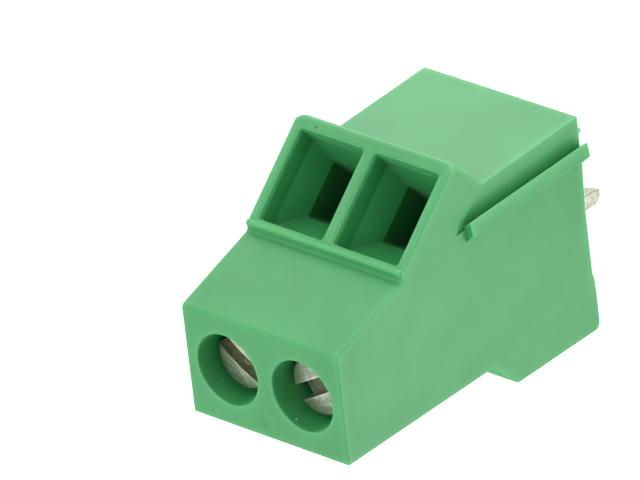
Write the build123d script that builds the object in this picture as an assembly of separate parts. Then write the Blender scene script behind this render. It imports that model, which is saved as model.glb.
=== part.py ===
"""Two-pole terminal block for circuit boards, 5.08 mm pitch, with slanted wire mouths.

Frame, in millimetres: the origin lies on the board, midway between the two solder pins.
+Z points away from the board, towards the screw heads. -Y is the side that the wires enter.
+X runs along the row of poles, and the side rib is on the -X end.
"""
from build123d import *
import math
import os

# Row of poles
POLES = 2
PITCH = 5.08
END_MARGIN = 0.22             # each end wall stands this far past its pole's half pitch

# Clamp screw, M3
SCREW_Y = 0.45                # the screws stand this far behind the solder pins
SCREW_RADIUS = 1.5
HEAD_RADIUS = 1.7
HEAD_EDGE_HEIGHT = 1.56
HEAD_BEVEL = 0.1
HEAD_DOME = 0.1
SLOT_WIDTH = 0.92
SLOT_DEPTH = 1.0
TIP_CHAMFER = 0.35
SLOT_ANGLES = (30.0, -32.5)   # degrees from +X, first the pole at the rib end

# Rising cage
CAGE_WIDTH = 4.2
CAGE_DEPTH = 3.4
CAGE_WALL = 0.5
CAGE_FLOOR = 0.8
CAGE_HEAD = 1.8
CAGE_ROUND = 0.35
WIRE_ROOM = 3.6               # between the open cage's floor and the contact bar
THINNEST_WIRE = 0.2           # what is left of that room when the cage is fully up
THREAD_CLEARANCE = 0.05
CAGE_REST_GAP = 0.05          # between the open cage's head and the contact bar

# Contact strip with its solder pin
STRIP = 0.8
STRIP_WIDTH = 2.4
STRIP_CLEARANCE = 0.05
BAR_TOP_Z = 9.4
BAR_REST = 0.25               # the bar's tip lies this deep in the chamber's front wall
FOOT_Z = 0.65
BEND_RADIUS = 0.3             # inside radius of each bend
EAR_LOW_Z = 3.0
EAR_HEIGHT = 2.0
PIN_WIDTH = 0.6
PIN_LENGTH = 3.5              # below the board's upper face
PIN_TAPER = 0.5
PIN_TIP = 0.35

# Clamp chamber, open to the underside
CAGE_SIDE_GAP = 0.1
CAGE_FRONT_GAP = 0.4
CAGE_REAR_GAP = 0.08
CAGE_TOP_GAP = 0.35

# Screw well and shank bore
HEAD_SEAT_DEPTH = 2.8         # below the screw face
HEAD_SEAT_GAP = 0.03
WELL_CLEARANCE = 0.34
SHANK_CLEARANCE = 0.1

# Side outline of the moulding, as (y, z) from the pin line and the board
STANDOFF = 0.22               # the underside's height above the board
BLOCK_HEIGHT = 20.0           # board to the screw face
BACK_WALL = 0.65              # behind the clamp chamber
WELL_FRONT_WALL = 1.05
HEEL_DEPTH = 1.77             # how far the heel stands behind the back face
HEEL_HEIGHT = 6.85            # top of the heel's upright face
HEEL_SLOPE = 1.63             # height of the heel's slanted top
DECK_END = (-4.37, 14.62)     # lower end of the sloping deck
RIM_STEP = 0.63               # from there out to the rim's corner
RIM_LEDGE = (0.04, -0.23)     # from that corner to the mouth plane's upper edge
BEAD_RADIUS = 0.18            # round bead along the rim's corner
BEAD_HEIGHT = 0.11            # above the step behind it
BEAD_FRONT = 0.01             # beyond the ledge
MOUTH_TILT = 42.1             # degrees between the mouth plane and the vertical
MOUTH_LENGTH = 6.1            # along the mouth plane
SNOUT_BULGE = 0.12            # of the snout's rounded underside
FRONT_Y = -7.03               # foot of the face below the snout
FRONT_LEAN = 0.25             # how far that face leans back at the snout's root
SNOUT_ROOT_Z = 7.9

# Edge rounding of the moulding
EDGE_ROUND = 0.11
DECK_ROUND = 0.3
LIP_ROUND = 0.42
LIP_CORNER = 0.8              # of the snout's two lower corners, fading out towards its root
LIP_CORNER_EDGE = 0.03        # its round starts this far outside the faces that it joins
WELL_RIM_BEVEL = 0.05
HEEL_ROUND = 0.42
INNER_ROUND = 0.15

# Wire funnels
PARTITION = 0.84              # between two mouths
RIM_WALL = 0.16               # above each mouth, along the mouth plane
LIP_WALL = 0.85               # below each mouth
CELL_CORNER = 0.12
RIM_FLARE = 0.25              # rounding of the rims into the mouths
LEAD_DEPTH = 1.35             # straight part of the funnel
TAPER_DEPTH = 1.55
THROAT_SIDE_INSET = 0.6
THROAT_TOP_INSET = 1.34
THROAT_LOW_INSET = 0.45
THROAT_CORNER = 0.15
CHANNEL_SIDE_INSET = 0.1      # inside the cage's window
CHANNEL_TOP_INSET = 0.45      # below the contact bar
CHANNEL_CORNER = 0.3

# Side rib, its groove and the recess in front of it, with y from the front face
RIB_SECTION = ((0.40, 1.92), (-0.36, 1.36), (-0.50, 2.14), (0.0, 2.61), (0.40, 2.61))
RIB_LEAN = 0.18               # how far the rib leans back over its length
RIB_ABOVE_ROOT = 1.66         # the rib ends this far above the snout's root
GROOVE_CLEARANCE = 0.08
RECESS_DEPTH = 0.17
RECESS_RUN = 0.3              # width of its slanted upper wall
RECESS_STEPS = ((1.35, 1.6), (1.64, 2.25), (2.09, 2.43))   # from the snout's root

# Coring and relief of the underside
CORE_PARTITION = 1.58
FRONT_WALL = 1.04
CHAMBER_WALL = 0.75
FRONT_CORE_LOW_TOP = 4.75
FRONT_CORE_HIGH_TOP = 7.3
HEEL_CORE_PARTITION = 1.28
HEEL_CORE_DEPTH = 0.9
HEEL_CORE_HEIGHT = 5.6
HEEL_WALL = 0.7
RELIEF = ((-5.2, 0.0), (-4.6, 0.14), (-1.6, 0.27), (2.15, 0.23), (2.4, 0.13), (4.0, 0.02), (4.2, 0.0))

# Standoffs and gate mark
RAIL_BACKSET = 0.8            # from the front face to the rail
RAIL_DEPTH = 0.25
RAIL_INSET = 0.22             # of the rail's ends
PAD_OFFSET = 1.16             # outward from the last pole
PAD_WIDTH = 1.0
PAD_DEPTH = 0.45
GATE_X = 0.15
GATE_RADIUS = 0.5
GATE_DEPTH = 0.07
GATE_BACKSET = 0.93           # from the back face

# Places that follow from the sizes
PAST = 1.0                    # how far a cutting tool stands out of the surface it cuts
HALF_WIDTH = POLES * PITCH / 2 + END_MARGIN
POLE_X = [(i - (POLES - 1) / 2) * PITCH for i in range(POLES)]
BAR_BOTTOM_Z = BAR_TOP_Z - STRIP
CAGE_FLOOR_Z = BAR_BOTTOM_Z - WIRE_ROOM
CAGE_HEAD_Z = BAR_TOP_Z + CAGE_REST_GAP
CAGE_TRAVEL = WIRE_ROOM - THINNEST_WIRE
CHAMBER_WIDTH = CAGE_WIDTH + 2 * CAGE_SIDE_GAP
CHAMBER_FRONT = SCREW_Y - CAGE_DEPTH / 2 - CAGE_FRONT_GAP
STRIP_SLOT_FRONT = SCREW_Y + CAGE_DEPTH / 2 + CAGE_REAR_GAP
CHAMBER_REAR = STRIP_SLOT_FRONT + STRIP_CLEARANCE + STRIP
CHAMBER_TOP = CAGE_HEAD_Z + CAGE_HEAD + CAGE_TRAVEL + CAGE_TOP_GAP
EAR_SPAN = CHAMBER_WIDTH - 2 * STRIP_CLEARANCE
HEAD_SEAT_Z = BLOCK_HEIGHT - HEAD_SEAT_DEPTH
WELL_RADIUS = HEAD_RADIUS + WELL_CLEARANCE
BACK_Y = CHAMBER_REAR + BACK_WALL
SCREW_FACE_FRONT = SCREW_Y - WELL_RADIUS - WELL_FRONT_WALL

TILT = math.radians(MOUTH_TILT)
DOWN_MOUTH = Vector(-math.sin(TILT), -math.cos(TILT))
INWARD = Vector(math.cos(TILT), -math.sin(TILT))
RIM_CORNER = Vector(DECK_END[0] - RIM_STEP, DECK_END[1])
MOUTH_TOP = RIM_CORNER + Vector(*RIM_LEDGE)
MOUTH_END = MOUTH_TOP + DOWN_MOUTH * MOUTH_LENGTH
SNOUT_ROOT = Vector(FRONT_Y + FRONT_LEAN, SNOUT_ROOT_Z)
SIDE_PLANE = Plane(origin=(0, 0, 0), x_dir=(0, 1, 0), z_dir=(1, 0, 0))


def mouth_plane(x, depth):
    """Plane parallel to the mouths: local x along the row, local y down the mouth."""
    spot = MOUTH_TOP + INWARD * depth
    return Plane(origin=(x, spot.X, spot.Y), x_dir=(1, 0, 0), z_dir=(0, INWARD.X, INWARD.Y))


def slot_face(plane, width, start, end, corner):
    """Rounded rectangle on a plane, from start to end along the plane's local y."""
    middle = (start + end) / 2
    return plane * Pos(0, middle) * RectangleRounded(width, end - start, corner)


def block(x_low, x_high, y_low, y_high, z_low, z_high):
    """Box between two corners."""
    size = (x_high - x_low, y_high - y_low, z_high - z_low)
    centre = ((x_low + x_high) / 2, (y_low + y_high) / 2, (z_low + z_high) / 2)
    return Pos(*centre) * Box(*size)


def side_prism(points, x_low, x_high):
    """Prism along X of a polygon given as (y, z) points."""
    outline = Polyline(*points, close=True)
    face = SIDE_PLANE * make_face(outline)
    return Pos(x_low, 0, 0) * extrude(face, amount=x_high - x_low)


def edge_at(solid, spot):
    """The edge along X nearest to a (y, z) point of the side outline."""
    target = Vector(0, spot[0], spot[1])
    return min(solid.edges().filter_by(Axis.X), key=lambda e: (e.center() - target).length)


def outer_form():
    """The moulding's outer body, with its rounded edges."""
    back_top = (BACK_Y, BLOCK_HEIGHT)
    deck_top = (SCREW_FACE_FRONT, BLOCK_HEIGHT)
    front_foot = (FRONT_Y, STANDOFF)
    heel_foot = (BACK_Y + HEEL_DEPTH, STANDOFF)
    heel_top = (BACK_Y + HEEL_DEPTH, HEEL_HEIGHT)
    back_foot = (BACK_Y, HEEL_HEIGHT + HEEL_SLOPE)
    chord = SNOUT_ROOT - MOUTH_END
    bulge = (MOUTH_END + SNOUT_ROOT) / 2 + chord.normalized().rotate(Axis.Z, -90) * SNOUT_BULGE
    outline = Polyline(
        SNOUT_ROOT, front_foot, heel_foot, heel_top, back_foot, back_top, deck_top, DECK_END,
        RIM_CORNER, MOUTH_TOP, MOUTH_END,
    )
    outline += ThreePointArc(MOUTH_END, bulge, SNOUT_ROOT)
    face = SIDE_PLANE * make_face(outline)
    body = Pos(-HALF_WIDTH, 0, 0) * extrude(face, amount=2 * HALF_WIDTH)
    corners = [
        (deck_top, DECK_ROUND),
        (DECK_END, INNER_ROUND),
        (tuple(RIM_CORNER), BEAD_RADIUS / 2),
        (tuple(MOUTH_TOP), EDGE_ROUND),
        (tuple(MOUTH_END), LIP_ROUND),
        (tuple(SNOUT_ROOT), INNER_ROUND),
        (heel_foot, HEEL_ROUND),
        (heel_top, EDGE_ROUND),
        (back_foot, INNER_ROUND),
        (back_top, EDGE_ROUND),
    ]
    for corner, radius in corners:
        body = fillet(edge_at(body, corner), radius)
    ends = [f for f in body.faces() if abs(abs(f.center().X) - HALF_WIDTH) < 1e-6]
    rims = [e for f in ends for e in f.edges()]
    body = fillet(rims, EDGE_ROUND)
    bead_y = RIM_CORNER.X + BEAD_RADIUS - BEAD_FRONT
    bead_z = RIM_CORNER.Y + BEAD_HEIGHT - BEAD_RADIUS
    bead_length = 2 * (HALF_WIDTH - EDGE_ROUND)
    body += Pos(0, bead_y, bead_z) * Rot(0, 90, 0) * Cylinder(BEAD_RADIUS, bead_length)
    for side in (-1, 1):
        body -= lip_corner(side)
    return body


def lip_corner(side):
    """What the rounding of one lower corner of the snout takes away."""
    root = SNOUT_ROOT - MOUTH_TOP
    depth, drop = root.dot(INWARD), root.dot(DOWN_MOUTH) - MOUTH_LENGTH
    sections = []
    for start, share in ((-PAST, 0), (0, 0), (0, 0.5), (0, 0.95)):
        radius = LIP_CORNER * (1 - share)
        wide = HALF_WIDTH + LIP_CORNER_EDGE
        low = MOUTH_LENGTH + drop * share + 4 * SNOUT_BULGE * share * (1 - share) + LIP_CORNER_EDGE
        x, y = wide - radius, low - radius
        far_x, far_y = wide + PAST, low + PAST
        middle = radius * math.sqrt(0.5)
        points = [(x, low), (x, far_y), (far_x, far_y), (far_x, y), (wide, y)]
        outline = Polyline(*[(side * px, py) for px, py in points])
        outline += ThreePointArc(
            (side * wide, y), (side * (x + middle), y + middle), (side * x, low)
        )
        sections.append(mouth_plane(0, start + depth * share) * make_face(outline))
    return loft(sections, ruled=True)


def wire_funnel(x):
    """Space of one wire entry, from outside the mouth to the clamp chamber."""
    width = PITCH - PARTITION
    low_end = MOUTH_LENGTH - LIP_WALL
    sections = []
    for depth in (-PAST, 0, 0.3 * RIM_FLARE, RIM_FLARE, LEAD_DEPTH):
        inside = min(max(depth, 0), RIM_FLARE)
        flare = RIM_FLARE - math.sqrt(RIM_FLARE**2 - (RIM_FLARE - inside) ** 2)
        sections.append(slot_face(
            mouth_plane(x, depth), width + 2 * flare, RIM_WALL - flare / 2, low_end + flare,
            CELL_CORNER + flare,
        ))
    sections.append(slot_face(
        mouth_plane(x, LEAD_DEPTH + TAPER_DEPTH), width - 2 * THROAT_SIDE_INSET,
        RIM_WALL + THROAT_TOP_INSET, low_end - THROAT_LOW_INSET, THROAT_CORNER,
    ))
    wall = Plane(origin=(x, CHAMBER_FRONT, 0), x_dir=(1, 0, 0), z_dir=(0, 1, 0))
    gate_width = CAGE_WIDTH - 2 * CAGE_WALL - 2 * CHANNEL_SIDE_INSET
    gate_top = BAR_BOTTOM_Z - CHANNEL_TOP_INSET
    sections.append(slot_face(wall, gate_width, -gate_top, -CAGE_FLOOR_Z, CHANNEL_CORNER))
    return Solid.make_loft([section.wire() for section in sections], ruled=True)


def clamp_space(x):
    """Chamber, contact slots, shank bore and screw well of one pole."""
    low = STANDOFF - PAST
    half = CHAMBER_WIDTH / 2
    space = block(x - half, x + half, CHAMBER_FRONT, STRIP_SLOT_FRONT, low, CHAMBER_TOP)
    ear_top = EAR_LOW_Z + EAR_HEIGHT + STRIP_CLEARANCE
    ear_half = EAR_SPAN / 2 + STRIP_CLEARANCE
    space += block(x - ear_half, x + ear_half, STRIP_SLOT_FRONT, CHAMBER_REAR, low, ear_top)
    slot_half = STRIP_WIDTH / 2 + STRIP_CLEARANCE
    bar_top = BAR_TOP_Z + STRIP_CLEARANCE
    space += block(x - slot_half, x + slot_half, STRIP_SLOT_FRONT, CHAMBER_REAR, low, bar_top)
    notch_front = CHAMBER_FRONT - BAR_REST - STRIP_CLEARANCE
    notch_low = BAR_BOTTOM_Z - STRIP_CLEARANCE
    space += block(x - slot_half, x + slot_half, notch_front, CHAMBER_FRONT, notch_low, bar_top)
    seat = HEAD_SEAT_Z - HEAD_SEAT_GAP
    bore_height = seat - CHAMBER_TOP + PAST
    bore_radius = SCREW_RADIUS + SHANK_CLEARANCE
    bore = Pos(x, SCREW_Y, seat - bore_height / 2) * Cylinder(bore_radius, bore_height)
    well_height = BLOCK_HEIGHT - seat + PAST
    well = Pos(x, SCREW_Y, seat + well_height / 2) * Cylinder(WELL_RADIUS, well_height)
    return space + bore + well


def underside_cores(x):
    """Coring pockets in front of and behind one clamp chamber."""
    half = (PITCH - CORE_PARTITION) / 2
    front = FRONT_Y + FRONT_WALL
    rear = CHAMBER_FRONT - CHAMBER_WALL
    low = STANDOFF - PAST
    outline = [(front, low), (front, FRONT_CORE_HIGH_TOP), (rear, FRONT_CORE_LOW_TOP), (rear, low)]
    pocket = side_prism(outline, x - half, x + half)
    heel_half = (PITCH - HEEL_CORE_PARTITION) / 2
    heel_front = CHAMBER_REAR + HEEL_WALL
    heel_rear = heel_front + HEEL_CORE_DEPTH
    heel_top = STANDOFF + HEEL_CORE_HEIGHT
    heel = block(x - heel_half, x + heel_half, heel_front, heel_rear, low, heel_top)
    return pocket + heel


def side_recess():
    """Relief in front of the rib, on the -X end, with a slanted upper wall."""
    wires = []
    for x, drop in ((-HALF_WIDTH - PAST, 0), (-HALF_WIDTH, 0), (-HALF_WIDTH + RECESS_DEPTH, RECESS_RUN)):
        low = STANDOFF - PAST
        root = SNOUT_ROOT_Z - drop
        points = [(FRONT_Y - PAST, low), (FRONT_Y - PAST, root), (FRONT_Y, root)]
        points += [(FRONT_Y + back, root + rise) for back, rise in RECESS_STEPS]
        points += [(FRONT_Y + RECESS_STEPS[-1][0], low)]
        wires.append(Wire.make_polygon([(x, y, z) for y, z in points], close=True))
    return Solid.make_loft(wires, ruled=True)


def rib(clearance=0.0):
    """The joining rib, or with a clearance the space that a neighbour's rib needs."""
    points = [(-HALF_WIDTH + inward, FRONT_Y + back) for inward, back in RIB_SECTION]
    face = make_face(Polyline(*points, close=True))
    if clearance:
        face = offset(face, amount=clearance, kind=Kind.INTERSECTION)
    top = SNOUT_ROOT_Z + RIB_ABOVE_ROOT
    slope = RIB_LEAN / (top - STANDOFF)
    ends = (STANDOFF - clearance, top + clearance)
    return loft([Pos(0, slope * (z - STANDOFF), z) * face for z in ends], ruled=True)


def standoffs():
    """Rail and pads that hold the moulding off the board."""
    rail_half = HALF_WIDTH - RAIL_INSET
    top = STANDOFF + EDGE_ROUND
    rail_y = FRONT_Y + RAIL_BACKSET
    pieces = block(-rail_half, rail_half, rail_y, rail_y + RAIL_DEPTH, 0, top)
    pad_y = CHAMBER_REAR + (HEEL_WALL - PAD_DEPTH) / 2
    for x in (POLE_X[0] - PAD_OFFSET, POLE_X[-1] + PAD_OFFSET):
        pieces += block(x - PAD_WIDTH / 2, x + PAD_WIDTH / 2, pad_y, pad_y + PAD_DEPTH, 0, top)
    return pieces


def housing():
    """The one-piece moulding."""
    body = outer_form()
    relief = [(y, STANDOFF + rise) for y, rise in RELIEF]
    relief = [(RELIEF[0][0], STANDOFF - PAST), *relief, (RELIEF[-1][0], STANDOFF - PAST)]
    body -= side_prism(relief, -HALF_WIDTH - PAST, HALF_WIDTH + PAST)
    body -= side_recess()
    body += rib()
    body -= Pos(2 * HALF_WIDTH, 0, 0) * rib(GROOVE_CLEARANCE)
    for x in POLE_X:
        body -= wire_funnel(x)
        body -= clamp_space(x)
        body -= underside_cores(x)
    body += standoffs()
    dimple = Cone(GATE_RADIUS / 2, GATE_RADIUS, GATE_DEPTH)
    body -= Pos(GATE_X, BACK_Y - GATE_BACKSET, BLOCK_HEIGHT - GATE_DEPTH / 2) * dimple
    face = body.faces().filter_by(Axis.Z).sort_by(Axis.Z)[-1]
    rims = [e for e in face.edges().filter_by(GeomType.CIRCLE) if abs(e.radius - WELL_RADIUS) < 1e-6]
    return chamfer(rims, WELL_RIM_BEVEL)


def clamp_screw(x, slot_angle):
    """Slotted clamp screw; its thread is left plain at the crest diameter."""
    edge_z = HEAD_SEAT_Z + HEAD_EDGE_HEIGHT
    tip_z = BAR_TOP_Z + CAGE_REST_GAP
    crown = HEAD_RADIUS - HEAD_BEVEL
    outline = [
        Line((0, tip_z), (SCREW_RADIUS - TIP_CHAMFER, tip_z)),
        Line((SCREW_RADIUS - TIP_CHAMFER, tip_z), (SCREW_RADIUS, tip_z + TIP_CHAMFER)),
        Line((SCREW_RADIUS, tip_z + TIP_CHAMFER), (SCREW_RADIUS, HEAD_SEAT_Z)),
        Line((SCREW_RADIUS, HEAD_SEAT_Z), (HEAD_RADIUS - HEAD_BEVEL, HEAD_SEAT_Z)),
        Line((HEAD_RADIUS - HEAD_BEVEL, HEAD_SEAT_Z), (HEAD_RADIUS, HEAD_SEAT_Z + HEAD_BEVEL)),
        Line((HEAD_RADIUS, HEAD_SEAT_Z + HEAD_BEVEL), (HEAD_RADIUS, edge_z - HEAD_BEVEL)),
        Line((HEAD_RADIUS, edge_z - HEAD_BEVEL), (crown, edge_z)),
        ThreePointArc((crown, edge_z), (crown / 2, edge_z + 0.75 * HEAD_DOME), (0, edge_z + HEAD_DOME)),
        Line((0, edge_z + HEAD_DOME), (0, tip_z)),
    ]
    profile = Plane.XZ * make_face(Wire(outline))
    turned = revolve(profile, Axis.Z)
    slot_top = edge_z + HEAD_DOME + PAST
    slot_floor = edge_z + HEAD_DOME - SLOT_DEPTH
    reach = HEAD_RADIUS + PAST
    half = SLOT_WIDTH / 2
    slot = block(-reach, reach, -half, half, slot_floor, slot_top)
    return Pos(x, SCREW_Y, 0) * (turned - Rot(0, 0, slot_angle) * slot)


def clamp_cage(x):
    """Rising cage, fully open: a floor, two sides and a threaded head in one ring."""
    low = CAGE_FLOOR_Z - CAGE_FLOOR
    high = CAGE_HEAD_Z + CAGE_HEAD
    half = CAGE_WIDTH / 2
    y_low = SCREW_Y - CAGE_DEPTH / 2
    y_high = SCREW_Y + CAGE_DEPTH / 2
    body = block(x - half, x + half, y_low, y_high, low, high)
    long_edges = body.edges().filter_by(Axis.Y)
    body = fillet(long_edges, CAGE_ROUND)
    inner = half - CAGE_WALL
    body -= block(x - inner, x + inner, y_low - PAST, y_high + PAST, CAGE_FLOOR_Z, CAGE_HEAD_Z)
    hole = Cylinder(SCREW_RADIUS + THREAD_CLEARANCE, CAGE_HEAD + 2 * PAST)
    body -= Pos(x, SCREW_Y, CAGE_HEAD_Z + CAGE_HEAD / 2) * hole
    return body


def contact_bar(x):
    """Bent contact strip: bar under the screw, leg behind the cage, foot and solder pin."""
    half_strip = STRIP / 2
    leg_y = CHAMBER_REAR - half_strip
    bar_z = BAR_TOP_Z - half_strip
    foot_z = FOOT_Z + half_strip
    neck_z = FOOT_Z - BEND_RADIUS
    path = FilletPolyline(
        (CHAMBER_FRONT - BAR_REST, bar_z), (leg_y, bar_z), (leg_y, foot_z), (0, foot_z), (0, neck_z),
        radius=BEND_RADIUS + half_strip,
    )
    sheet = SIDE_PLANE * trace(path, line_width=STRIP)
    half = STRIP_WIDTH / 2
    body = Pos(x - half, 0, 0) * extrude(sheet, amount=STRIP_WIDTH)
    for sign in (-1, 1):
        trim_x = x + sign * (PIN_WIDTH / 2 + STRIP_WIDTH / 2)
        trim = Box(STRIP_WIDTH, 2 * STRIP, 3 * STRIP)
        body -= Pos(trim_x, BEND_RADIUS - STRIP, foot_z) * trim
    ear_half = EAR_SPAN / 2
    leg_front = CHAMBER_REAR - STRIP
    ear_top = EAR_LOW_Z + EAR_HEIGHT
    body += block(x - ear_half, x + ear_half, leg_front, CHAMBER_REAR, EAR_LOW_Z, ear_top)
    return body + solder_pin(x, neck_z)


def solder_pin(x, top_z):
    """Square pin with a tapered tip, below the strip's last bend."""
    wide = Rectangle(PIN_WIDTH, STRIP)
    narrow = Rectangle(PIN_TIP, PIN_TIP)
    taper_z = -PIN_LENGTH + PIN_TAPER
    shaft = block(x - PIN_WIDTH / 2, x + PIN_WIDTH / 2, -STRIP / 2, STRIP / 2, taper_z, top_z)
    sections = [Pos(x, 0, -PIN_LENGTH) * narrow, Pos(x, 0, taper_z) * wide]
    return shaft + loft(sections)


os.makedirs("parts", exist_ok=True)
export_step(housing(), "parts/housing.step")
for index, x in enumerate(POLE_X):
    number = index + 1
    slot_angle = SLOT_ANGLES[index % len(SLOT_ANGLES)]
    export_step(clamp_screw(x, slot_angle), f"parts/clamp_screw_{number}.step")
    export_step(clamp_cage(x), f"parts/clamp_cage_{number}.step")
    export_step(contact_bar(x), f"parts/contact_bar_{number}.step")
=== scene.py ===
"""Finish, screw threads, floor, lights and camera for the two-pole terminal block."""
import bmesh
import bpy
import math
from mathutils import Matrix, Vector


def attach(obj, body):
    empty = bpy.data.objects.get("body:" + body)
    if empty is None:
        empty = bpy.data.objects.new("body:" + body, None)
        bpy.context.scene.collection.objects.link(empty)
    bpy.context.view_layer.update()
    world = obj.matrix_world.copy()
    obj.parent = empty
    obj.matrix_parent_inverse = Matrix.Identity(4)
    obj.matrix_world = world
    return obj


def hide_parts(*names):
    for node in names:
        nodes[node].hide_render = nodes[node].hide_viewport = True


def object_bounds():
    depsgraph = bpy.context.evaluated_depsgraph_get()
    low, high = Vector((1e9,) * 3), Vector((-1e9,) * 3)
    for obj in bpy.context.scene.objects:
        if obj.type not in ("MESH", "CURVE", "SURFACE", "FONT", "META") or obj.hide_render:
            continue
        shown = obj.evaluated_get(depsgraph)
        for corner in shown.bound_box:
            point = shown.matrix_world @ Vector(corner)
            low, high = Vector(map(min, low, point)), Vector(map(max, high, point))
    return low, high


MM = 0.001

# Screw axes, and the M3 thread that the CAD leaves as plain cylinders
POLE_X = (-2.54 * MM, 2.54 * MM)
SCREW_Y = 0.45 * MM
HEAD_SEAT_Z = 17.2 * MM                       # underside of the screws' heads
THREAD_PITCH = 0.5 * MM
RIDGE_ROOT = 0.44 * MM                        # widths of the ridge
RIDGE_CREST = 0.08 * MM
RIDGE_STEPS = 32                              # a turn
SHARP_EDGE = math.radians(30)                 # a steeper bend than this shades as an edge
SCREW_RIDGE = (1.2 * MM, 1.5 * MM)            # radii, root inside; the CAD's shank is 1.5
SCREW_RIDGE_Z = (9.94 * MM, 16.74 * MM)       # middle of the ridge at its two ends
CAGE_RIDGE = (1.27 * MM, 1.56 * MM)           # radii, root outside, in a hole of 1.55
CAGE_RIDGE_Z = (9.69 * MM, 10.99 * MM)        # half a pitch off the screw's ridge
HAIR = 0.01 * MM                              # for comparing places

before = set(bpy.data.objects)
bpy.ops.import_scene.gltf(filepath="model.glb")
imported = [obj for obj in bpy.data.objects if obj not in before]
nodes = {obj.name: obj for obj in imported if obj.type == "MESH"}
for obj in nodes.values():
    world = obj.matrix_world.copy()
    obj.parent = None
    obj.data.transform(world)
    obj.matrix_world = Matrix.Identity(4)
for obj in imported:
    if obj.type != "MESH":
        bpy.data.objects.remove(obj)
cad_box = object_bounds()
OCCLUSION_RAYS = 6                            # for each look at how thick or how deep a place is


# Colours and nodes

def linear(hex_code):
    """Linear RGBA of an sRGB hex colour."""
    channels = [int(hex_code[i:i + 2], 16) / 255 for i in (1, 3, 5)]
    curve = [c / 12.92 if c <= 0.04045 else ((c + 0.055) / 1.055) ** 2.4 for c in channels]
    return (*curve, 1.0)


def add_node(tree, kind, inputs=None, **settings):
    """A node with its settings. An input takes a value, a socket, or a node for its first output."""
    node = tree.nodes.new(kind)
    for name, value in settings.items():
        setattr(node, name, value)
    for key, value in (inputs or {}).items():
        if isinstance(value, bpy.types.Node):
            value = value.outputs[0]
        if isinstance(value, bpy.types.NodeSocket):
            tree.links.new(value, node.inputs[key])
        else:
            node.inputs[key].default_value = value
    return node


def new_material(name):
    """An empty material, its node tree and its Principled shader."""
    material = bpy.data.materials.new(name)
    material.use_nodes = True
    tree = material.node_tree
    tree.nodes.clear()
    shader = add_node(tree, "ShaderNodeBsdfPrincipled")
    add_node(tree, "ShaderNodeOutputMaterial", {"Surface": shader})
    return material, tree, shader


def dress(obj, material):
    """Gives every slot of an object one material."""
    obj.data.materials.clear()
    obj.data.materials.append(material)


# Moulded polyamide: satin from a spark-eroded mould, with faint clouds from the flow of the melt.
# Thin edges are painted paler, a painted glow for light getting through them, and the throats are
# painted black, painted shade where light hardly gets in.

PLASTIC = (linear("#277e44"), linear("#2c8449"))
PAINTED_EDGE_GLOW = linear("#40935a")
PAINTED_THROAT_SHADE = linear("#020802")
FLOW_CLOUD = 4.0 * MM
THIN_WALL = 0.6 * MM                          # painted glow of light shining through what is thinner
THROAT_DEPTH = 7.0 * MM                       # painted black shade where walls stand all round within this
INNER_CORNER = 0.5 * MM                       # reach of a corner's duller strip
GRAIN = 0.12 * MM                             # about 0.03 mm on the real block; coarser, to show
GRAIN_DEPTH = 0.01 * MM
SATIN = (0.38, 0.48)                          # roughness between the grain's pits and peaks
POLYAMIDE_IOR = 1.52
LIGHT_REACH = 0.3 * MM                        # how far light spreads under the surface
FLECKS = (                                    # place in mm, radius in mm, colour
    ((3.751, -8.699, 10.252), 0.075, linear("#020c03")),
    ((3.93, 1.94, 19.063), 0.035, linear("#a8c49c")),
    ((-1.593, 2.253, 19.615), 0.045, linear("#d4e4c4")),
)


def plastic_tone(tree, place):
    """Clouded green with painted light: a paler painted glow at thin edges and painted black shade
    in the throats; and a few specks of dirt.
    """
    clouds = add_node(
        tree, "ShaderNodeTexNoise",
        {"Vector": place, "Scale": 1 / FLOW_CLOUD, "Detail": 3.0, "Roughness": 0.6},
    )
    share = add_node(
        tree, "ShaderNodeMapRange", {"Value": clouds, "From Min": 0.3, "From Max": 0.7},
        interpolation_type="SMOOTHSTEP",
    )
    tone = add_node(
        tree, "ShaderNodeMixRGB", {"Fac": share, "Color1": PLASTIC[0], "Color2": PLASTIC[1]}
    )
    # Painted glow: thin walls and edges turn a paler green, as if lit through
    wall = add_node(
        tree, "ShaderNodeAmbientOcclusion", {"Distance": THIN_WALL},
        samples=OCCLUSION_RAYS, inside=True, only_local=True,
    )
    thick = add_node(
        tree, "ShaderNodeMapRange", {"Value": wall, "From Min": 0.25, "From Max": 0.95},
        interpolation_type="SMOOTHSTEP",
    )
    tone = add_node(
        tree, "ShaderNodeMixRGB", {"Fac": thick, "Color1": PAINTED_EDGE_GLOW, "Color2": tone}
    )
    # Painted shade: where walls stand all round, as deep in the throats, the green turns black
    sky = add_node(
        tree, "ShaderNodeAmbientOcclusion", {"Distance": THROAT_DEPTH},
        samples=OCCLUSION_RAYS, only_local=True,
    )
    lit = add_node(
        tree, "ShaderNodeMapRange", {"Value": sky, "From Min": 0.02, "From Max": 0.15},
        interpolation_type="SMOOTHSTEP",
    )
    tone = add_node(
        tree, "ShaderNodeMixRGB", {"Fac": lit, "Color1": PAINTED_THROAT_SHADE, "Color2": tone}
    )
    for spot, radius, colour in FLECKS:
        reach = add_node(
            tree, "ShaderNodeVectorMath", {0: place, 1: [c * MM for c in spot]},
            operation="DISTANCE",
        )
        clean = add_node(
            tree, "ShaderNodeMapRange",
            {
                "Value": reach.outputs["Value"],
                "From Min": 0.7 * radius * MM, "From Max": radius * MM,
            },
        )
        tone = add_node(
            tree, "ShaderNodeMixRGB", {"Fac": clean, "Color1": colour, "Color2": tone}
        )
    return tone


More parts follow.
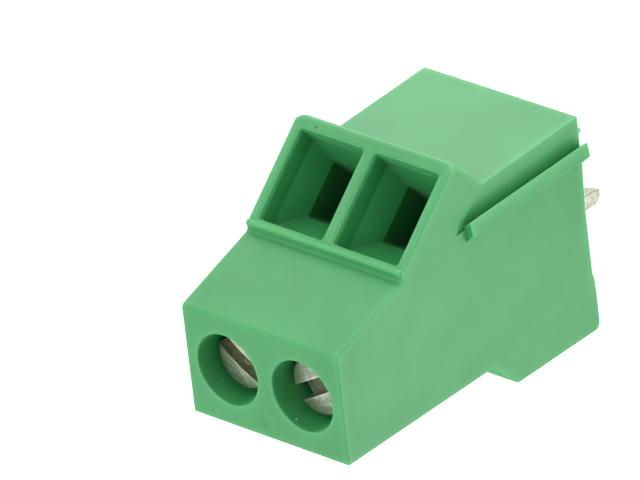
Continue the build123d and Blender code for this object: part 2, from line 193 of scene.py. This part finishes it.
def moulded_polyamide():
    material, tree, shader = new_material("moulded_polyamide")
    place = add_node(tree, "ShaderNodeTexCoord").outputs["Object"]
    grain = add_node(
        tree, "ShaderNodeTexNoise",
        {"Vector": place, "Scale": 1 / GRAIN, "Detail": 2.0, "Roughness": 0.5},
    )
    relief = add_node(
        tree, "ShaderNodeBump", {"Height": grain, "Strength": 0.25, "Distance": GRAIN_DEPTH}
    )
    satin = add_node(
        tree, "ShaderNodeMapRange", {"Value": grain, "To Min": SATIN[0], "To Max": SATIN[1]},
        interpolation_type="SMOOTHSTEP",
    )
    # Eroded grain hides its own hollows at a low slant, so the sheen is duller there
    slant = add_node(tree, "ShaderNodeLayerWeight", {"Blend": 0.5}).outputs["Facing"]
    dulled = add_node(
        tree, "ShaderNodeMapRange",
        {"Value": slant, "From Min": 0.55, "From Max": 0.95, "To Max": 0.6},
        interpolation_type="SMOOTHSTEP",
    )
    # Inner corners keep the coarser finish of a worn electrode, so no bright line runs along them
    corner = add_node(
        tree, "ShaderNodeAmbientOcclusion", {"Distance": INNER_CORNER},
        samples=OCCLUSION_RAYS, only_local=True,
    )
    coarse = add_node(
        tree, "ShaderNodeMapRange",
        {"Value": corner, "From Min": 0.45, "From Max": 0.9, "To Min": 0.5, "To Max": 0.0},
        interpolation_type="SMOOTHSTEP",
    )
    rough = satin
    for extra in (dulled, coarse):
        rough = add_node(
            tree, "ShaderNodeMath", {0: rough, 1: extra}, operation="ADD", use_clamp=True
        )
    for name, node in (
        ("Base Color", plastic_tone(tree, place)), ("Normal", relief), ("Roughness", rough)
    ):
        tree.links.new(node.outputs[0], shader.inputs[name])
    shader.inputs["IOR"].default_value = POLYAMIDE_IOR
    shader.inputs["Subsurface Weight"].default_value = 1.0
    shader.inputs["Subsurface Radius"].default_value = (0.5, 1.0, 0.6)
    shader.inputs["Subsurface Scale"].default_value = LIGHT_REACH
    return material


# Plated metal: clouded and slightly dented from tumbling in the plating barrel, with painted light
# along its edges, and in a slot a stain together with painted light against the slot's shade

PLATING_CLOUD = 0.45 * MM
DENT = 0.3 * MM                               # width
PAINTED_EDGE_REACH = 0.12 * MM                       # reach of the painted edge light: a highlight on zinc, a shade on tin
SLOT_DEPTH = 0.9 * MM                         # stain and painted light where walls stand near within this
ROUGHNESS_SWING = 0.08                        # between dull and bright clouds


def plated(name, clouds_from, clouds_to, painted_edge_light, stain_and_painted_hollow_light, roughness, dent):
    """Plated metal of two clouded tones, with painted light along its edges and a stain with painted
    light in hollows. The dents' depth is in mm.
    """
    material, tree, shader = new_material(name)
    place = add_node(tree, "ShaderNodeTexCoord").outputs["Object"]
    clouds = add_node(
        tree, "ShaderNodeTexNoise",
        {"Vector": place, "Scale": 1 / PLATING_CLOUD, "Detail": 5.0, "Roughness": 0.65},
    )
    share = add_node(
        tree, "ShaderNodeMapRange", {"Value": clouds, "From Min": 0.35, "From Max": 0.65},
        interpolation_type="SMOOTHSTEP",
    )
    tone = add_node(
        tree, "ShaderNodeMixRGB",
        {"Fac": share, "Color1": linear(clouds_from), "Color2": linear(clouds_to)},
    )
    # Painted edge light: a paler highlight on zinc, a darker shade on tin, along edges and thin
    # parts
    body = add_node(
        tree, "ShaderNodeAmbientOcclusion", {"Distance": PAINTED_EDGE_REACH},
        samples=OCCLUSION_RAYS, inside=True, only_local=True,
    )
    inward = add_node(
        tree, "ShaderNodeMapRange", {"Value": body, "From Min": 0.3, "From Max": 0.95},
        interpolation_type="SMOOTHSTEP",
    )
    tone = add_node(
        tree, "ShaderNodeMixRGB", {"Fac": inward, "Color1": linear(painted_edge_light), "Color2": tone}
    )
    # In hollows such as a slot, a brown stain with painted light: brighter on the screw to lift the
    # slot's shade, darker on cage and tin as painted shade
    sky = add_node(
        tree, "ShaderNodeAmbientOcclusion", {"Distance": SLOT_DEPTH},
        samples=OCCLUSION_RAYS, only_local=True,
    )
    open_air = add_node(
        tree, "ShaderNodeMapRange", {"Value": sky, "From Min": 0.25, "From Max": 0.7},
        interpolation_type="SMOOTHSTEP",
    )
    tone = add_node(
        tree, "ShaderNodeMixRGB", {"Fac": open_air, "Color1": linear(stain_and_painted_hollow_light), "Color2": tone}
    )
    rough = add_node(
        tree, "ShaderNodeMapRange",
        {
            "Value": clouds, "From Min": 0.3, "From Max": 0.7,
            "To Min": roughness + ROUGHNESS_SWING, "To Max": roughness - ROUGHNESS_SWING,
        },
        interpolation_type="SMOOTHSTEP",
    )
    dents = add_node(
        tree, "ShaderNodeTexNoise",
        {"Vector": place, "Scale": 1 / DENT, "Detail": 3.0, "Roughness": 0.55},
    )
    relief = add_node(
        tree, "ShaderNodeBump", {"Height": dents, "Strength": 1.0, "Distance": dent * MM}
    )
    for name, node in (("Base Color", tone), ("Normal", relief), ("Roughness", rough)):
        tree.links.new(node.outputs[0], shader.inputs[name])
    shader.inputs["Metallic"].default_value = 1.0
    return material


polyamide = moulded_polyamide()
# Zinc on a cold-headed screw: greenish grey from its chromate, with a painted highlight along its
# edges and, in the slot, a brown stain painted brighter against the slot's shade
screw_zinc = plated(
    "zinc_plated_screw_steel", "#838e7b", "#acb4a1", painted_edge_light="#e9ecdf", stain_and_painted_hollow_light="#d2b686",
    roughness=0.42, dent=0.05,
)
# Zinc on a bent strip: duller and smoother
cage_zinc = plated(
    "zinc_plated_cage_steel", "#93958e", "#a9aaa3", painted_edge_light="#cfd0c8", stain_and_painted_hollow_light="#8a8272",
    roughness=0.4, dent=0.02,
)
# Bright tin on stamped brass: pale and shiny, with painted shade along its edges
tin = plated(
    "bright_tin_plate", "#b4afa0", "#d2cfc2", painted_edge_light="#6f6d68", stain_and_painted_hollow_light="#8d8672",
    roughness=0.25, dent=0.012,
)

for node_name, finish in {
    "housing": polyamide,
    "clamp_screw_1": screw_zinc,
    "clamp_screw_2": screw_zinc,
    "clamp_cage_1": cage_zinc,
    "clamp_cage_2": cage_zinc,
    "contact_bar_1": tin,
    "contact_bar_2": tin,
}.items():
    dress(nodes[node_name], finish)


# Screw threads

def ridge_tree():
    """Geometry Nodes that join a helical ridge to a mesh, and its inputs' identifiers by name."""
    tree = bpy.data.node_groups.new("helical_ridge", "GeometryNodeTree")
    sockets = tree.interface
    sockets.new_socket("Mesh", in_out="INPUT", socket_type="NodeSocketGeometry")
    identifiers = {}
    for name, kind in (
        ("Turns", "NodeSocketFloat"), ("Rise", "NodeSocketFloat"),
        ("Inner radius", "NodeSocketFloat"), ("Outer radius", "NodeSocketFloat"),
        ("Inner width", "NodeSocketFloat"), ("Outer width", "NodeSocketFloat"),
        ("Start", "NodeSocketVector"), ("Material", "NodeSocketMaterial"),
    ):
        socket = sockets.new_socket(name, in_out="INPUT", socket_type=kind)
        identifiers[name] = socket.identifier
    sockets.new_socket("Mesh", in_out="OUTPUT", socket_type="NodeSocketGeometry")

    given = add_node(tree, "NodeGroupInput").outputs
    radii = add_node(
        tree, "ShaderNodeMath", {0: given["Inner radius"], 1: given["Outer radius"]},
        operation="ADD",
    )
    middle = add_node(tree, "ShaderNodeMath", {0: radii, 1: 0.5}, operation="MULTIPLY")
    depth = add_node(
        tree, "ShaderNodeMath", {0: given["Outer radius"], 1: given["Inner radius"]},
        operation="SUBTRACT",
    )
    # Reverse makes it right-handed, so that a screw turned clockwise draws its cage up
    helix = add_node(
        tree, "GeometryNodeCurveSpiral",
        {
            "Resolution": RIDGE_STEPS, "Rotations": given["Turns"], "Height": given["Rise"],
            "Start Radius": middle, "End Radius": middle, "Reverse": True,
        },
    )
    upright = add_node(tree, "GeometryNodeSetCurveNormal", {"Curve": helix}, mode="Z_UP")
    profile = add_node(
        tree, "GeometryNodeCurvePrimitiveQuadrilateral",
        {
            "Height": depth, "Bottom Width": given["Inner width"],
            "Top Width": given["Outer width"], "Offset": 0.0,
        },
        mode="TRAPEZOID",
    )
    top_outwards = add_node(
        tree, "GeometryNodeTransform", {"Geometry": profile, "Rotation": (0.0, 0.0, -math.pi / 2)}
    )
    ridge = add_node(
        tree, "GeometryNodeCurveToMesh",
        {"Curve": upright, "Profile Curve": top_outwards, "Fill Caps": True},
    )
    placed = add_node(
        tree, "GeometryNodeTransform", {"Geometry": ridge, "Translation": given["Start"]}
    )
    joined = add_node(tree, "GeometryNodeJoinGeometry", {0: given["Mesh"]})
    tree.links.new(placed.outputs[0], joined.inputs[0])
    real = add_node(tree, "GeometryNodeRealizeInstances", {"Geometry": joined})
    coated = add_node(
        tree, "GeometryNodeSetMaterial", {"Geometry": real, "Material": given["Material"]}
    )
    add_node(tree, "NodeGroupOutput", {"Mesh": coated})
    return tree, identifiers


RIDGE_TREE, RIDGE_INPUTS = ridge_tree()


def threaded(name, mesh, pole_x, radii, widths, ridge_z, material):
    """Object made of a mesh and a helical ridge round a screw's axis."""
    obj = bpy.data.objects.new(name, mesh)
    bpy.context.collection.objects.link(obj)
    dress(obj, material)
    modifier = obj.modifiers.new("thread", "NODES")
    modifier.node_group = RIDGE_TREE
    rise = ridge_z[1] - ridge_z[0]
    sizes = {
        "Turns": rise / THREAD_PITCH, "Rise": rise,
        "Inner radius": radii[0], "Outer radius": radii[1],
        "Inner width": widths[0], "Outer width": widths[1],
        "Start": (pole_x, SCREW_Y, ridge_z[0]), "Material": material,
    }
    for key, value in sizes.items():
        modifier[RIDGE_INPUTS[key]] = value
    depsgraph = bpy.context.evaluated_depsgraph_get()
    result = bpy.data.meshes.new_from_object(obj.evaluated_get(depsgraph))
    obj.modifiers.remove(modifier)
    obj.data = result
    shape = bmesh.new()
    shape.from_mesh(result)
    bmesh.ops.recalc_face_normals(shape, faces=shape.faces)
    shape.to_mesh(result)
    shape.free()
    result.shade_smooth()
    result.set_sharp_from_angle(angle=SHARP_EDGE)
    return obj


def turned_down(node, pole_x):
    """Copy of a CAD screw's mesh with its shank turned down to the root of the thread."""
    mesh = node.data.copy()
    mesh.attributes.remove(mesh.attributes["custom_normal"])
    shape = bmesh.new()
    shape.from_mesh(mesh)
    bmesh.ops.remove_doubles(shape, verts=shape.verts, dist=0.1 * HAIR)
    root, crest = SCREW_RIDGE
    for vert in shape.verts:
        away = Vector((vert.co.x - pole_x, vert.co.y - SCREW_Y))
        on_shank = vert.co.z < HEAD_SEAT_Z + HAIR and away.length < crest + HAIR
        if on_shank and away.length > root + HAIR:
            away *= (root + HAIR) / away.length
            vert.co.x = pole_x + away.x
            vert.co.y = SCREW_Y + away.y
    shape.to_mesh(mesh)
    shape.free()
    return mesh


for number, pole_x in enumerate(POLE_X, start=1):
    cad_screw = f"clamp_screw_{number}"
    screw = threaded(
        f"threaded_screw_{number}", turned_down(nodes[cad_screw], pole_x), pole_x,
        SCREW_RIDGE, (RIDGE_ROOT, RIDGE_CREST), SCREW_RIDGE_Z, screw_zinc,
    )
    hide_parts(cad_screw)
    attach(screw, f"screw_{number}")
    tapping = threaded(
        f"cage_tapping_{number}", bpy.data.meshes.new(f"cage_tapping_{number}"), pole_x,
        CAGE_RIDGE, (RIDGE_CREST, RIDGE_ROOT), CAGE_RIDGE_Z, cage_zinc,
    )
    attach(tapping, f"cage_{number}")


# Floor, lights and camera: a white light tent with the block on a white card

FLOOR_SIZE = 3.0                              # m
CARD_GLOW = 0.65                              # keeps the card white under the block
CARD_BRIGHT_SPOT = (9.0, -15.0, -3.5)         # mm; its light gives the snout its sheen
CARD_BRIGHT_REACH = (6.0, 20.0)               # mm
CARD_BRIGHT_GLOW = 1.2
TENT_STRENGTH = 1.45
TENT_OPENING = (-0.5976, -0.4887, 0.6355)     # towards the photographer's side, which is darker
TENT_OPENING_STRENGTH = 0.6
CAMERA_PLACE = (-352.17, -288.0, 374.49)      # mm, from matching the block's corners
CAMERA_RIGHT = (-0.74968, 0.10186, -0.65392)
CAMERA_UP = (0.25664, -0.86602, -0.42911)
CAMERA_LENS = 637.95                          # mm
CAMERA_SENSOR = 36.0                          # mm, its width
LIGHT_DISTANCE = 0.35                         # m
low_corner, high_corner = cad_box
centre = (Vector(low_corner) + Vector(high_corner)) / 2


def make_floor():
    half = FLOOR_SIZE / 2
    z = low_corner[2]
    mesh = bpy.data.meshes.new("floor")
    corners = [(-half, -half, z), (half, -half, z), (half, half, z), (-half, half, z)]
    mesh.from_pydata(corners, [], [(0, 1, 2, 3)])
    floor = bpy.data.objects.new("floor", mesh)
    bpy.context.collection.objects.link(floor)
    material, tree, shader = new_material("white_card")
    place = add_node(tree, "ShaderNodeTexCoord").outputs["Object"]
    away = add_node(
        tree, "ShaderNodeVectorMath", {0: place, 1: [c * MM for c in CARD_BRIGHT_SPOT]},
        operation="DISTANCE",
    )
    glow = add_node(
        tree, "ShaderNodeMapRange",
        {
            "Value": away.outputs["Value"],
            "From Min": CARD_BRIGHT_REACH[0] * MM, "From Max": CARD_BRIGHT_REACH[1] * MM,
            "To Min": CARD_BRIGHT_GLOW, "To Max": CARD_GLOW,
        },
        interpolation_type="SMOOTHSTEP",
    )
    tree.links.new(glow.outputs[0], shader.inputs["Emission Strength"])
    shader.inputs["Emission Color"].default_value = (1.0, 1.0, 1.0, 1.0)
    shader.inputs["Base Color"].default_value = linear("#f4f4f2")
    shader.inputs["Roughness"].default_value = 0.9
    dress(floor, material)


def soft_light(name, direction, size, power):
    """Square area light that shines at the block from a direction."""
    data = bpy.data.lights.new(name, "AREA")
    data.size = size
    data.energy = power
    light = bpy.data.objects.new(name, data)
    away = Vector(direction).normalized()
    light.location = centre + away * LIGHT_DISTANCE
    light.rotation_mode = "QUATERNION"
    light.rotation_quaternion = away.to_track_quat("Z", "Y")
    bpy.context.collection.objects.link(light)


def make_tent():
    world = bpy.data.worlds.new("white_tent")
    world.use_nodes = True
    tree = world.node_tree
    background = tree.nodes["Background"]
    background.inputs["Color"].default_value = (1.0, 1.0, 1.0, 1.0)
    towards = add_node(tree, "ShaderNodeTexCoord").outputs["Generated"]
    facing = add_node(
        tree, "ShaderNodeVectorMath", {0: towards, 1: TENT_OPENING}, operation="DOT_PRODUCT"
    )
    strength = add_node(
        tree, "ShaderNodeMapRange",
        {
            "Value": facing.outputs["Value"], "From Min": 0.9, "From Max": 0.985,
            "To Min": TENT_STRENGTH, "To Max": TENT_OPENING_STRENGTH,
        },
        interpolation_type="SMOOTHSTEP",
    )
    tree.links.new(strength.outputs[0], background.inputs["Strength"])
    bpy.context.scene.world = world


def make_camera():
    data = bpy.data.cameras.new("camera")
    data.sensor_width = CAMERA_SENSOR
    data.lens = CAMERA_LENS
    data.clip_end = 10.0
    camera = bpy.data.objects.new("camera", data)
    right = Vector(CAMERA_RIGHT).normalized()
    back = right.cross(Vector(CAMERA_UP)).normalized()
    up = back.cross(right)
    turn = Matrix((right, up, back)).transposed()
    camera.matrix_world = Matrix.Translation(Vector(CAMERA_PLACE) * MM) @ turn.to_4x4()
    bpy.context.collection.objects.link(camera)
    bpy.context.scene.camera = camera


make_floor()
make_tent()
soft_light("key", direction=(0.05, -0.5, 1.35), size=0.25, power=0.56)
soft_light("sheen", direction=(0.6, -0.62, 0.4), size=0.2, power=0.1)
make_camera()
bpy.context.scene.view_settings.view_transform = "Standard"
